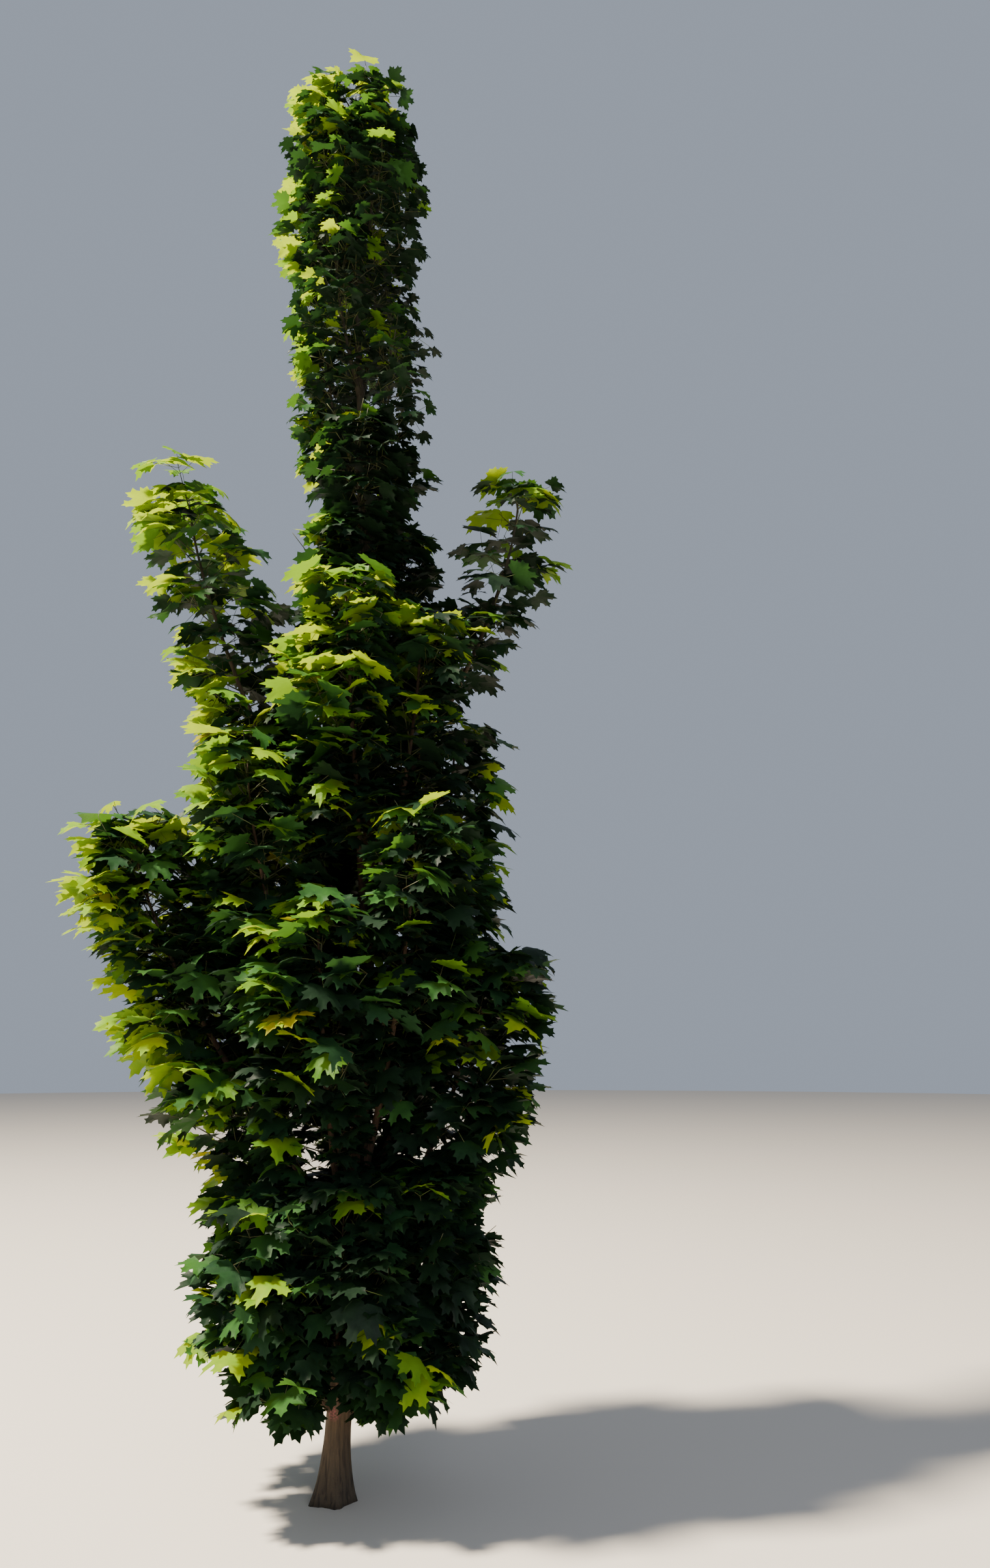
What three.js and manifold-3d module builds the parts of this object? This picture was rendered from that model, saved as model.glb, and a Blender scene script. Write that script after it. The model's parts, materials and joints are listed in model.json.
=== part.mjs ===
// A columnar Norway maple of about six metres, as it stands in a nursery row.
// One trunk runs up through the foliage. Steep boughs leave it low down, turn upright and end where
// they enter their mass of foliage. Other masses stand straight on the trunk, round its foot and all
// the way up to its tip. Millimetres, +Z up; the origin is the centre of the flat cut at ground level.
// Azimuths are in degrees from +X towards +Y, so 180 is the left side and 270 faces the viewer.

import * as THREE from "three";
import { mergeVertices } from "three/addons/utils/BufferGeometryUtils.js";
import Module from "manifold-3d";

const wasm = await Module();
wasm.setup();

// The gap between two pieces that touch, and the little more that limbs are cut back by
const GAP = 0.3;
const CUT_GAP = 0.33;

// Trunk: a slow S-shaped sweep, a swollen butt, a taper to the tip and root ridges at the foot.
// Its rings lie closer together towards the foot.
const TRUNK_TIP = 5240;
const TRUNK_SWEEP = 82;
const TRUNK_SWEEP_LENGTH = 8800;
const TRUNK_SWAY = 28;
const TRUNK_SWAY_LENGTH = 6400;
const TRUNK_RADIUS = 37;
const TRUNK_FADE_HEIGHT = 6100;
const TRUNK_TAPER = 0.7;
const TRUNK_TIP_RADIUS = 7;
const BUTT_SWELL = 14;
const BUTT_HEIGHT = 600;
const FLARE = 22;
const FLARE_HEIGHT = 95;
const ROOT_RIDGES = 5;
const ROOT_RIDGE = 20;
const TRUNK_SIDES = 15;
const TRUNK_STEPS = 12;
const TRUNK_RING_POWER = 1.6;

// Boughs: each leaves the trunk at its foot height and rises to the tip of its mass, reach away from
// the trunk. Spread is the half width of the mass. Entry is the share of the way where the mass begins.
const BOUGHS = [
  { name: "left_tall", azimuth: 183, foot: 1950, tip: 3830, reach: 730, spread: 310, entry: 0.34 },
  { name: "right_tall", azimuth: 358, foot: 2420, tip: 3860, reach: 650, spread: 270, entry: 0.35 },
  { name: "left_low", azimuth: 191, foot: 880, tip: 2410, reach: 910, spread: 370, entry: 0.27 },
  { name: "right_low", azimuth: 344, foot: 640, tip: 1860, reach: 470, spread: 370, entry: 0.24 },
  { name: "right_mid", azimuth: 20, foot: 1600, tip: 2880, reach: 370, spread: 320, entry: 0.34 },
  { name: "left_mid", azimuth: 168, foot: 560, tip: 2020, reach: 660, spread: 400, entry: 0.24 },
  { name: "left_upper", azimuth: 162, foot: 1320, tip: 2880, reach: 520, spread: 380, entry: 0.28 },
  { name: "front_left", azimuth: 217, foot: 1060, tip: 2640, reach: 540, spread: 380, entry: 0.27 },
  { name: "front_right", azimuth: 298, foot: 960, tip: 2400, reach: 450, spread: 350, entry: 0.3 },
  { name: "front_tall", azimuth: 262, foot: 1860, tip: 3360, reach: 360, spread: 340, entry: 0.3 },
  { name: "front_low", azimuth: 254, foot: 700, tip: 2080, reach: 480, spread: 370, entry: 0.26 },
  { name: "back_left", azimuth: 128, foot: 1080, tip: 2640, reach: 520, spread: 370, entry: 0.3 },
  { name: "back_right", azimuth: 56, foot: 860, tip: 2320, reach: 500, spread: 350, entry: 0.3 },
  { name: "back_tall", azimuth: 88, foot: 1760, tip: 3300, reach: 400, spread: 350, entry: 0.3 },
  { name: "back_low", azimuth: 90, foot: 600, tip: 1860, reach: 480, spread: 360, entry: 0.26 },
  { name: "right_upper", azimuth: 318, foot: 1980, tip: 3240, reach: 310, spread: 300, entry: 0.3 },
];
const BOUGH_BEND = 1.5;
const BOUGH_RADIUS = 16;
const BOUGH_SIDES = 6;
const BOUGH_STEPS = 4;

// Shoots that stand on the trunk: low ones round its foot, and the column, which is made twice, on the
// right and on the left. Each next shoot is a turn further round and a step higher. The larger the
// bend, the sooner a shoot turns upright.
const SKIRT = {
  count: 6, azimuth: 30, turn: 60, foot: 240, step: 12, rise: 780, reach: 340, spread: 380, bend: 3,
};
const COLUMN = {
  count: 5, azimuth: 8, turn: 77, foot: 2880, step: 480, rise: 790, reach: 150, spread: 290, bend: 2.4,
};
const SHOOT_TRUNK_SHARE = 0.6;

// The shoot that carries the trunk on to the top
const LEADER_RISE = 570;
const LEADER_SPREAD = 360;

// A shoot whose way comes too near to another's is turned round the trunk by steps, on either side.
// The room it needs grows with its distance from the trunk.
const CLEARANCE = 10;
const SPLAY = 0.25;
const TURN_STEP = 6;
const CLEAR_RUNS = 40;
const CLEAR_POINTS = 60;

// Stems, twigs and leaves. A leaf stands for a spray, so it is larger than life.
const STEM_RADIUS = 10;
const STEM_TIP_SHARE = 0.5;
const STEM_SIDES = 4;
const STEM_STEPS = 3;
const FIRST_NODE = 95;
const LAST_NODE = 60;
const NODE_SPACING = 86;
const FIRST_PAIR = 45;
const PAIR_TURN = 90;
const TWIG_SHARE = 0.45;
const TWIG_SIDES = 3;
const TWIG_SHORTEST = 45;
const TWIG_LIFT_LOW = 0;
const TWIG_LIFT_HIGH = 45;
const TWIG_LIFT_TIP = 50;
const WHORL = 3;
const WHORL_AT = 0.99;
const WHORL_JITTER = 0.3;
const WHORL_SPREAD = 250;
const WHORL_DROOP = 0.25;
const LEAF_LENGTH = 300;
const SHOOT_LEAF_LENGTH = 250;
const LEAF_FOLD = 15;
const LEAF_DROOP = 0.9;
const LEAF_MIDDLE = 0.55;
const LEAF_HOLD = 0.28;
const LEAF_HOLD_DEPTH = 0.224;
const LEAF_SPACING = 110;
const LEAF_ROOM = 20;
const LEAF_FAR = 480;

// A twig is tried again while there is no room for it: its own swings, in radians and shares, and how
// much further it swings, shrinks and shortens at each next try
const TWIG_TRIES = 40;
const HEADING_SWING = 0.1;
const HEADING_MORE = 0.07;
const LIFT_SWING = 0.2;
const REACH_SHARE = 0.95;
const REACH_LESS = 0.018;
const SIZE_SWING = 0.08;
const SIZE_LESS = 0.008;
const DROOP_SWING = 0.3;
const LEAF_TURN_SWING = 0.35;
const LEAF_ROLL_SWING = 0.3;

// Room that a leaf or twig keeps from the next mass and from a limb, and how finely that is looked at
const CELL_MARGIN = 6;
const LIMB_MARGIN = 18;
const PROBE_SPACING = 42;
const TRUNK_RUNS = 24;
const BOUGH_RUNS = 6;
const STEM_RUNS = 8;

// The share of a limb's way over which its direction is read
const PATH_STEP = 0.01;

const UP = new THREE.Vector3(0, 0, 1);
const radians = THREE.MathUtils.degToRad;
const lerp = THREE.MathUtils.lerp;

// A repeatable stream of numbers from 0 to 1
function seeded(seed) {
  let state = (seed * 7919 + 104729) % 2147483647;
  return () => {
    state = (state * 16807) % 2147483647;
    return state / 2147483647;
  };
}

// Solids

function solidOf(geometry) {
  const bare = new THREE.BufferGeometry();
  const source = geometry.index ? geometry.toNonIndexed() : geometry;
  bare.setAttribute("position", source.getAttribute("position"));
  const merged = mergeVertices(bare, 1e-3);
  const corners = merged.index.array;
  const faces = [];
  for (let i = 0; i < corners.length; i += 3) {
    const [a, b, c] = corners.slice(i, i + 3);
    if (a !== b && b !== c && c !== a) faces.push(a, b, c);
  }
  return new wasm.Manifold(
    new wasm.Mesh({
      numProp: 3,
      vertProperties: new Float32Array(merged.getAttribute("position").array),
      triVerts: new Uint32Array(faces),
    }),
  );
}

function geometryOf(solid) {
  const mesh = solid.getMesh();
  return new THREE.BufferGeometry()
    .setAttribute("position", new THREE.BufferAttribute(mesh.vertProperties, 3))
    .setIndex(new THREE.BufferAttribute(mesh.triVerts, 1));
}

// Joins pieces and keeps the one body that holds together: scraps and sealed hollows go.
function fuse(solids) {
  const bodies = wasm.Manifold.union(solids).decompose();
  return bodies.reduce((best, body) => (body.volume() > best.volume() ? body : best));
}

// Moves each point of a unit cylinder that stands on the ground: place gets the share of the height,
// the angle, and the share of the radius.
function shapeCylinder(sides, steps, place) {
  const geometry = new THREE.CylinderGeometry(1, 1, 1, sides, steps);
  geometry.rotateX(Math.PI / 2);
  const position = geometry.getAttribute("position");
  const point = new THREE.Vector3();
  for (let i = 0; i < position.count; i++) {
    point.fromBufferAttribute(position, i);
    const moved = place(point.z + 0.5, Math.atan2(point.y, point.x), Math.hypot(point.x, point.y));
    position.setXYZ(i, moved.x, moved.y, moved.z);
  }
  return geometry;
}

// A round tapering limb along a path. Beside is a direction that the path never runs along.
function limbGeometry(path, radiusAt, beside, sides, steps) {
  return shapeCylinder(sides, steps, (share, angle, out) => {
    const centre = path(share);
    const ahead = path(Math.min(share + PATH_STEP, 1));
    const along = ahead.sub(path(Math.max(share - PATH_STEP, 0))).normalize();
    const across = new THREE.Vector3().crossVectors(along, beside).normalize();
    const other = new THREE.Vector3().crossVectors(along, across);
    const radius = radiusAt(share) * out;
    return centre
      .addScaledVector(across, Math.cos(angle) * radius)
      .addScaledVector(other, Math.sin(angle) * radius);
  });
}

// Trunk

function trunkAxis(height) {
  return new THREE.Vector3(
    TRUNK_SWEEP * Math.sin((2 * Math.PI * height) / TRUNK_SWEEP_LENGTH),
    TRUNK_SWAY * Math.sin((2 * Math.PI * height) / TRUNK_SWAY_LENGTH),
    height,
  );
}

function trunkRadius(height) {
  const taper = Math.max(1 - height / TRUNK_FADE_HEIGHT, 0) ** TRUNK_TAPER;
  const swell = BUTT_SWELL * Math.exp(-height / BUTT_HEIGHT);
  return Math.max(TRUNK_RADIUS * taper + swell, TRUNK_TIP_RADIUS);
}

function rootFlare(height, angle) {
  const ridge = 0.5 + 0.5 * Math.cos(ROOT_RIDGES * angle);
  return (FLARE + ROOT_RIDGE * ridge) * Math.exp(-height / FLARE_HEIGHT);
}

// Extra is added all round, for cutting limbs back to clear the bark.
function trunkSolid(extra) {
  return solidOf(
    shapeCylinder(TRUNK_SIDES, TRUNK_STEPS, (share, angle, out) => {
      const height = TRUNK_TIP * share ** TRUNK_RING_POWER;
      const radius = (trunkRadius(height) + rootFlare(height, angle) + extra) * out;
      const centre = trunkAxis(height);
      centre.x += Math.cos(angle) * radius;
      centre.y += Math.sin(angle) * radius;
      return centre;
    }),
  );
}

// Shoots: a bough with its mass, or a mass that stands on the trunk itself

function trunkShoots(kind, tier, side) {
  return Array.from({ length: tier.count }, (_, i) => ({
    name: kind + "_" + (i + 1),
    azimuth: tier.azimuth + i * tier.turn + side,
    foot: tier.foot + i * tier.step,
    tip: tier.foot + i * tier.step + tier.rise,
    reach: tier.reach,
    spread: tier.spread,
    bend: tier.bend,
    entry: 0,
  }));
}

const leader = {
  name: "leader",
  azimuth: 0,
  foot: TRUNK_TIP,
  tip: TRUNK_TIP + LEADER_RISE,
  reach: 0,
  spread: LEADER_SPREAD,
  bend: 1,
  entry: 0,
};

// The way of a shoot from the trunk's axis to its tip: it leans out at first and then turns upright.
function shootPath(shoot, share) {
  const height = lerp(shoot.foot, shoot.tip, share);
  const out = shoot.reach * (1 - (1 - share) ** shoot.bend);
  const point = trunkAxis(height);
  point.x += Math.cos(radians(shoot.azimuth)) * out;
  point.y += Math.sin(radians(shoot.azimuth)) * out;
  return point;
}

function shootRadius(shoot, share) {
  const thickest = shoot.entry > 0 ? BOUGH_RADIUS : STEM_RADIUS;
  const foot = Math.min(thickest, trunkRadius(shoot.foot) * SHOOT_TRUNK_SHARE);
  return foot * lerp(1, STEM_TIP_SHARE, share);
}

const outward = (shoot) =>
  new THREE.Vector3(Math.cos(radians(shoot.azimuth)), Math.sin(radians(shoot.azimuth)), 0);

function stretchOf(shoot, from, to, sides, steps) {
  return solidOf(
    limbGeometry(
      (share) => shootPath(shoot, lerp(from, to, share)),
      (share) => shootRadius(shoot, lerp(from, to, share)),
      outward(shoot),
      sides,
      steps,
    ),
  );
}

// The share of a shoot's way where its stem begins, a gap past the bough's end or the trunk's tip
function stemStart(shoot) {
  const length = shootPath(shoot, 1).distanceTo(shootPath(shoot, 0));
  if (shoot.entry > 0) return shoot.entry + GAP / length;
  return shoot.reach > 0 ? 0 : GAP / length;
}

// A path as short straight runs, for telling how far a point is from a limb
function runsAlong(path, radiusAt, from, to, count) {
  return Array.from({ length: count }, (_, i) => {
    const start = lerp(from, to, i / count);
    const end = lerp(from, to, (i + 1) / count);
    return { line: new THREE.Line3(path(start), path(end)), radius: radiusAt(start) };
  });
}

const shootRuns = (shoot, from, to, count) =>
  runsAlong((s) => shootPath(shoot, s), (s) => shootRadius(shoot, s), from, to, count);

const nearest = new THREE.Vector3();
const distanceTo = (run, point) =>
  run.line.closestPointToPoint(point, true, nearest).distanceTo(point);

// Whether a shoot keeps clear of the others wherever it is out of the trunk, the further out the more
function keepsClear(shoot, others) {
  const outBy = (point) => point.distanceTo(trunkAxis(point.z)) - trunkRadius(point.z);
  const runs = others
    .flatMap((other) => shootRuns(other, 0, 1, CLEAR_RUNS))
    .filter((run) => outBy(run.line.start) > 0);
  const shares = Array.from({ length: CLEAR_POINTS }, (_, i) => (i + 1) / CLEAR_POINTS);
  return shares.every((share) => {
    const point = shootPath(shoot, share);
    const room = shootRadius(shoot, share) + CLEARANCE + SPLAY * outBy(point);
    return outBy(point) < 0 || runs.every((run) => distanceTo(run, point) > run.radius + room);
  });
}

// Turns a shoot a little further to and fro until it keeps clear.
function settled(shoot, others) {
  for (let step = 0; step < 360 / TURN_STEP; step++) {
    const turn = TURN_STEP * Math.ceil(step / 2) * (step % 2 ? 1 : -1);
    const turned = { ...shoot, azimuth: shoot.azimuth + turn };
    if (keepsClear(turned, others)) return turned;
  }
  return shoot;
}

const shoots = [];
for (const shoot of [
  ...BOUGHS.map((bough) => ({ ...bough, bend: BOUGH_BEND })),
  ...trunkShoots("skirt", SKIRT, 0),
  ...trunkShoots("column_right", COLUMN, 0),
  ...trunkShoots("column_left", COLUMN, 180),
  leader,
]) {
  shoots.push(settled(shoot, shoots));
}

// Room for foliage

const boughs = shoots.filter((shoot) => shoot.entry > 0);
const limbRuns = [
  ...runsAlong(trunkAxis, trunkRadius, 0, TRUNK_TIP, TRUNK_RUNS),
  ...boughs.flatMap((shoot) => shootRuns(shoot, 0, shoot.entry, BOUGH_RUNS)),
];
const stemRuns = shoots.map((shoot) => shootRuns(shoot, stemStart(shoot), 1, STEM_RUNS));

const clearOfLimbs = (point) =>
  limbRuns.every((run) => distanceTo(run, point) > run.radius + LIMB_MARGIN);

// A mass's own space: within its spread, and nearer to its own stem than to any other
function inSpace(index, point) {
  const own = Math.min(...stemRuns[index].map((run) => distanceTo(run, point)));
  if (own > shoots[index].spread) return false;
  return stemRuns.every(
    (runs, other) =>
      other === index || runs.every((run) => distanceTo(run, point) > own + 2 * CELL_MARGIN),
  );
}

const hasRoom = (index, points) =>
  points.every((point) => inSpace(index, point) && clearOfLimbs(point));

const offStem = (index, points) =>
  points.every((point) => stemRuns[index].every((run) => distanceTo(run, point) > LEAF_ROOM));

// Leaves

// A folded three-lobed leaf that runs along +X from its root. Its upper faces meet along the midrib
// and its lower ones span from lobe to lobe, so the blade is thickest in the middle.
const LEAF_CORNERS = [
  [0, 0, 0],
  [0.6, -0.5, -1],
  [0.68, -0.21, -0.5],
  [1, 0, 0],
  [0.68, 0.21, -0.5],
  [0.6, 0.5, -1],
];
const LEAF_FACES = [
  [0, 1, 2],
  [0, 2, 3],
  [0, 3, 4],
  [0, 4, 5],
  [0, 5, 1],
  [1, 4, 2],
  [1, 5, 4],
  [2, 4, 3],
];

const leafCorner = ([along, across, fold], size) =>
  new THREE.Vector3(along * size, across * size, fold * LEAF_FOLD);

function leafGeometry(size) {
  const corners = LEAF_CORNERS.map((corner) => leafCorner(corner, size));
  return new THREE.BufferGeometry().setFromPoints(corners).setIndex(LEAF_FACES.flat());
}

// Points all over a leaf, to see whether there is room for it
function leafProbes(placement, size) {
  const rim = LEAF_CORNERS.map((corner) => leafCorner(corner, size));
  const middle = leafCorner([LEAF_MIDDLE, 0, -0.5], size);
  const probes = [middle];
  rim.forEach((point, i) => {
    const next = rim[(i + 1) % rim.length];
    const steps = Math.ceil(point.distanceTo(next) / PROBE_SPACING);
    for (let step = 0; step < steps; step++) {
      const onRim = point.clone().lerp(next, step / steps);
      const inwards = Math.ceil(onRim.distanceTo(middle) / PROBE_SPACING);
      for (let k = 0; k < inwards; k++) probes.push(onRim.clone().lerp(middle, k / inwards));
    }
  });
  return probes.map((probe) => probe.applyMatrix4(placement));
}

// Masses of foliage

function twigSolid(root, tip, radius) {
  const way = tip.clone().sub(root);
  const twig = new THREE.ConeGeometry(radius, way.length(), TWIG_SIDES);
  twig.rotateX(Math.PI / 2);
  twig.translate(0, 0, way.length() / 2);
  twig.applyQuaternion(new THREE.Quaternion().setFromUnitVectors(UP, way.normalize()));
  twig.translate(root.x, root.y, root.z);
  return solidOf(twig);
}

function twigProbes(root, tip) {
  const steps = Math.ceil(root.distanceTo(tip) / PROBE_SPACING);
  return Array.from({ length: steps }, (_, i) => root.clone().lerp(tip, (i + 1) / steps));
}

// Turns a leaf so that it points along a bearing over the ground, drooping, and rolled on its midrib,
// and puts the place where a twig is sunk into it at the twig's tip.
function leafPlacement(tip, bearing, droop, roll, size) {
  const turn = new THREE.Matrix4().makeRotationFromEuler(new THREE.Euler(roll, droop, bearing, "ZYX"));
  const hold = leafCorner([LEAF_HOLD, 0, -LEAF_HOLD_DEPTH], size).applyMatrix4(turn);
  return turn.setPosition(tip.clone().sub(hold));
}

// Whether two sets of points stay apart everywhere
const apart = (points, others) =>
  points.every((point) => others.every((other) => point.distanceTo(other) > LEAF_ROOM));

// Whether a new leaf and its twig keep off the leaves and twigs that are there already
function keepsOff(probes, twig, sprays) {
  return sprays.every((spray) => {
    const between = spray.leaf[0].distanceTo(probes[0]);
    if (between > LEAF_FAR) return true;
    if (between < LEAF_SPACING) return false;
    return apart(probes, spray.leaf) && apart(probes, spray.twig) && apart(twig, spray.leaf);
  });
}

// A pair of twigs at each node of the stem, each pair a quarter turn from the last, and a whorl at its
// tip. Each twig carries one leaf. It is first tried long enough for the leaf to reach the edge of the
// mass, then shorter and turned a little, until there is room for it.
function massSolid(shoot, index, cutter) {
  const random = seeded(index + 1);
  const jitter = (range) => (random() * 2 - 1) * range;
  const start = stemStart(shoot);
  const length = shootPath(shoot, start).distanceTo(shootPath(shoot, 1));
  const pieces = [stretchOf(shoot, start, 1, STEM_SIDES, STEM_STEPS)];
  const leafLength = shoot.entry > 0 ? LEAF_LENGTH : SHOOT_LEAF_LENGTH;
  const sprays = [];

  function growTwig(share, bearing, lift, droop, spread) {
    const root = shootPath(shoot, share);
    for (let attempt = 0; attempt < TWIG_TRIES; attempt++) {
      const heading = bearing + jitter(HEADING_SWING + HEADING_MORE * attempt);
      const size = leafLength * (1 + jitter(SIZE_SWING) - SIZE_LESS * attempt);
      const hang = droop + jitter(DROOP_SWING);
      const rise = lift + jitter(LIFT_SWING);
      const leafReach = size * (1 - LEAF_HOLD) * Math.cos(hang);
      const reach = spread * (REACH_SHARE - REACH_LESS * attempt) - leafReach;
      const twigLength = Math.max(reach / Math.cos(rise), TWIG_SHORTEST);
      const tip = root.clone();
      tip.x += Math.cos(heading) * Math.cos(rise) * twigLength;
      tip.y += Math.sin(heading) * Math.cos(rise) * twigLength;
      tip.z += Math.sin(rise) * twigLength;
      const pointing = heading + jitter(LEAF_TURN_SWING);
      const placement = leafPlacement(tip, pointing, hang, jitter(LEAF_ROLL_SWING), size);
      const probes = leafProbes(placement, size);
      const twig = twigProbes(root, tip);
      if (!keepsOff(probes, twig, sprays) || !offStem(index, probes)) continue;
      if (!hasRoom(index, probes) || !hasRoom(index, twig)) continue;
      sprays.push({ leaf: probes, twig });
      pieces.push(twigSolid(root, tip, shootRadius(shoot, share) * TWIG_SHARE));
      pieces.push(solidOf(leafGeometry(size).applyMatrix4(placement)));
      return;
    }
  }

  for (let i = 0; i < WHORL; i++) {
    const bearing = (i * 2 * Math.PI) / WHORL + jitter(WHORL_JITTER);
    growTwig(WHORL_AT, bearing, radians(TWIG_LIFT_TIP), WHORL_DROOP, WHORL_SPREAD);
  }
  const nodes = Math.floor((length - FIRST_NODE - LAST_NODE) / NODE_SPACING);
  for (let node = nodes; node >= 0; node--) {
    const way = (FIRST_NODE + node * NODE_SPACING) / length;
    const lift = radians(lerp(TWIG_LIFT_LOW, TWIG_LIFT_HIGH, way));
    const pair = radians(shoot.azimuth + FIRST_PAIR + node * PAIR_TURN);
    growTwig(lerp(start, 1, way), pair, lift, LEAF_DROOP, shoot.spread);
    growTwig(lerp(start, 1, way), pair + Math.PI, lift, LEAF_DROOP, shoot.spread);
  }
  const mass = fuse(pieces);
  return shoot.reach > 0 && shoot.entry === 0 ? fuse([mass.subtract(cutter)]) : mass;
}

// The tree

const tree = new THREE.Group();

function addPiece(name, solid, material) {
  const mesh = new THREE.Mesh(geometryOf(solid), material);
  mesh.name = name;
  tree.add(mesh);
}

const barkMaterial = new THREE.MeshStandardMaterial({ color: 0x6f5a48, roughness: 0.92 });
const leafMaterial = new THREE.MeshStandardMaterial({
  color: 0x47702a,
  roughness: 0.62,
  side: THREE.DoubleSide,
});

addPiece("trunk", trunkSolid(0), barkMaterial);
const barkCutter = trunkSolid(CUT_GAP);
shoots.forEach((shoot, index) => {
  if (shoot.entry > 0) {
    const bough = stretchOf(shoot, 0, shoot.entry, BOUGH_SIDES, BOUGH_STEPS);
    addPiece("bough_" + shoot.name, bough.subtract(barkCutter), barkMaterial);
  }
  addPiece("mass_" + shoot.name, massSolid(shoot, index, barkCutter), leafMaterial);
});

export default tree;
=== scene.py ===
"""A columnar Norway maple of about six metres in full leaf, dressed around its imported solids.

The trunk and boughs get a mesh with the bark's relief. Every mass of foliage gets the twigs, leaf
stalks and leaves that grow on from its stem. Everything is in metres, +Z up, with the origin at the
ground under the trunk.
"""

import json
import math
import random

import bmesh
import bpy
import numpy as np
from mathutils import Euler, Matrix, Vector, noise

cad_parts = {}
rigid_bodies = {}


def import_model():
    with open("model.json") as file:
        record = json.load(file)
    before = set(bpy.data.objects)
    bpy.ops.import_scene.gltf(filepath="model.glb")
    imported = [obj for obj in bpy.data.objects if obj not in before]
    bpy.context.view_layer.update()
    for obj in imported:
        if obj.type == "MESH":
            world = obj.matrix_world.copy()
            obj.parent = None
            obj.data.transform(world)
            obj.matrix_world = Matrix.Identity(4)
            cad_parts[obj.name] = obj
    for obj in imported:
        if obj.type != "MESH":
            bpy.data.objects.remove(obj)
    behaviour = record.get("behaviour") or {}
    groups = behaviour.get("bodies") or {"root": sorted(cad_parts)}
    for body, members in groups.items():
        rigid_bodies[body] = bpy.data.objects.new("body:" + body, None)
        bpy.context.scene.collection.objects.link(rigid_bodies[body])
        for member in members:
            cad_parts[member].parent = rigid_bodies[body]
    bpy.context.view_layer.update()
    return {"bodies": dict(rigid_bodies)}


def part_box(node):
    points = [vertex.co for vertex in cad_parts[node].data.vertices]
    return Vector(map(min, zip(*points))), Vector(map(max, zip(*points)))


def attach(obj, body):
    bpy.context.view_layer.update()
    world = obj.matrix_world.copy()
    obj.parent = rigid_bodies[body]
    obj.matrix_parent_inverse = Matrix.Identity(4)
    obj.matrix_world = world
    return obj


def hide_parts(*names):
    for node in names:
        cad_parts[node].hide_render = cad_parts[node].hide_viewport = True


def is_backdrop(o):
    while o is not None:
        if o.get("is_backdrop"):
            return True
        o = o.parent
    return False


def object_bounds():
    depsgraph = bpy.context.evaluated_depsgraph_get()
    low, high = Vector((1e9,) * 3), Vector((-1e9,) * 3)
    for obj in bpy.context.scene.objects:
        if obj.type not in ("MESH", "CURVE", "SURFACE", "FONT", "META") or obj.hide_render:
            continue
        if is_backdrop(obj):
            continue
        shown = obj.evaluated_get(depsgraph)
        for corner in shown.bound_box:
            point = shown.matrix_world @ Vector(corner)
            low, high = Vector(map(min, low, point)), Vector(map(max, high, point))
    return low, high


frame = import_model()
BODY = list(frame["bodies"])[0]

# Camera
# The photograph was taken at eye height, a little to the right of the tree and looking up at it.
# It stands upright, so the sensor's long side is the picture's height.

CAMERA_PLACE = (0.583, -4.815, 1.6)
CAMERA_PITCH = 12
CAMERA_LENS = 28.08
CAMERA_SENSOR = 36

camera = bpy.data.objects.new("camera", bpy.data.cameras.new("camera"))
camera.data.lens = CAMERA_LENS
camera.data.sensor_width = CAMERA_SENSOR
camera.location = CAMERA_PLACE
camera.rotation_euler = (math.radians(90 + CAMERA_PITCH), 0, 0)
bpy.context.scene.collection.objects.link(camera)
bpy.context.scene.camera = camera

# Trunk
# A young maple's stem: smooth tan bark that turns grey and furrowed towards the foot, where five
# low roots run out under the soil; there it is also painted darker, as shade. It sweeps slowly to
# and fro and stays whole to the top.

TRUNK_TIP = 5.24
TRUNK_SWEEP = 0.082
TRUNK_SWEEP_LENGTH = 8.8
TRUNK_SWAY = 0.028
TRUNK_SWAY_LENGTH = 6.4
TRUNK_RADIUS = 0.037
TRUNK_FADE_HEIGHT = 6.1
TRUNK_TAPER = 0.7
TRUNK_TIP_RADIUS = 0.007
BUTT_SWELL = 0.014
BUTT_HEIGHT = 0.6
FLARE = 0.022
FLARE_HEIGHT = 0.095
ROOT_RIDGES = 5
ROOT_RIDGE = 0.02
ROOT_RIDGE_POWER = 1.4
TRUNK_SIDES = 56
TRUNK_RING_SPACING = 0.024
FURROWS = 11
FURROW_DEPTH = 0.012
FURROW_FADE = 0.35
FURROW_LENGTH = 0.2
FURROW_POWER = 0.6
FURROW_DRIFT = 4
FURROW_DRIFT_ROUND = 1.5
BARK_WAVE = 0.0016
BARK_WAVE_LENGTH = 0.11
BARK_WAVE_ROUND = 2
PATH_STEP = 0.01
UP = Vector((0, 0, 1))


def trunk_axis(height):
    """The middle of the trunk at a height."""
    x = TRUNK_SWEEP * math.sin(math.tau * height / TRUNK_SWEEP_LENGTH)
    y = TRUNK_SWAY * math.sin(math.tau * height / TRUNK_SWAY_LENGTH)
    return Vector((x, y, height))


def trunk_radius(height):
    """The trunk's radius at a height, without its root ridges."""
    taper = max(1 - height / TRUNK_FADE_HEIGHT, 0) ** TRUNK_TAPER
    swell = BUTT_SWELL * math.exp(-height / BUTT_HEIGHT)
    return max(TRUNK_RADIUS * taper + swell, TRUNK_TIP_RADIUS)


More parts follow.
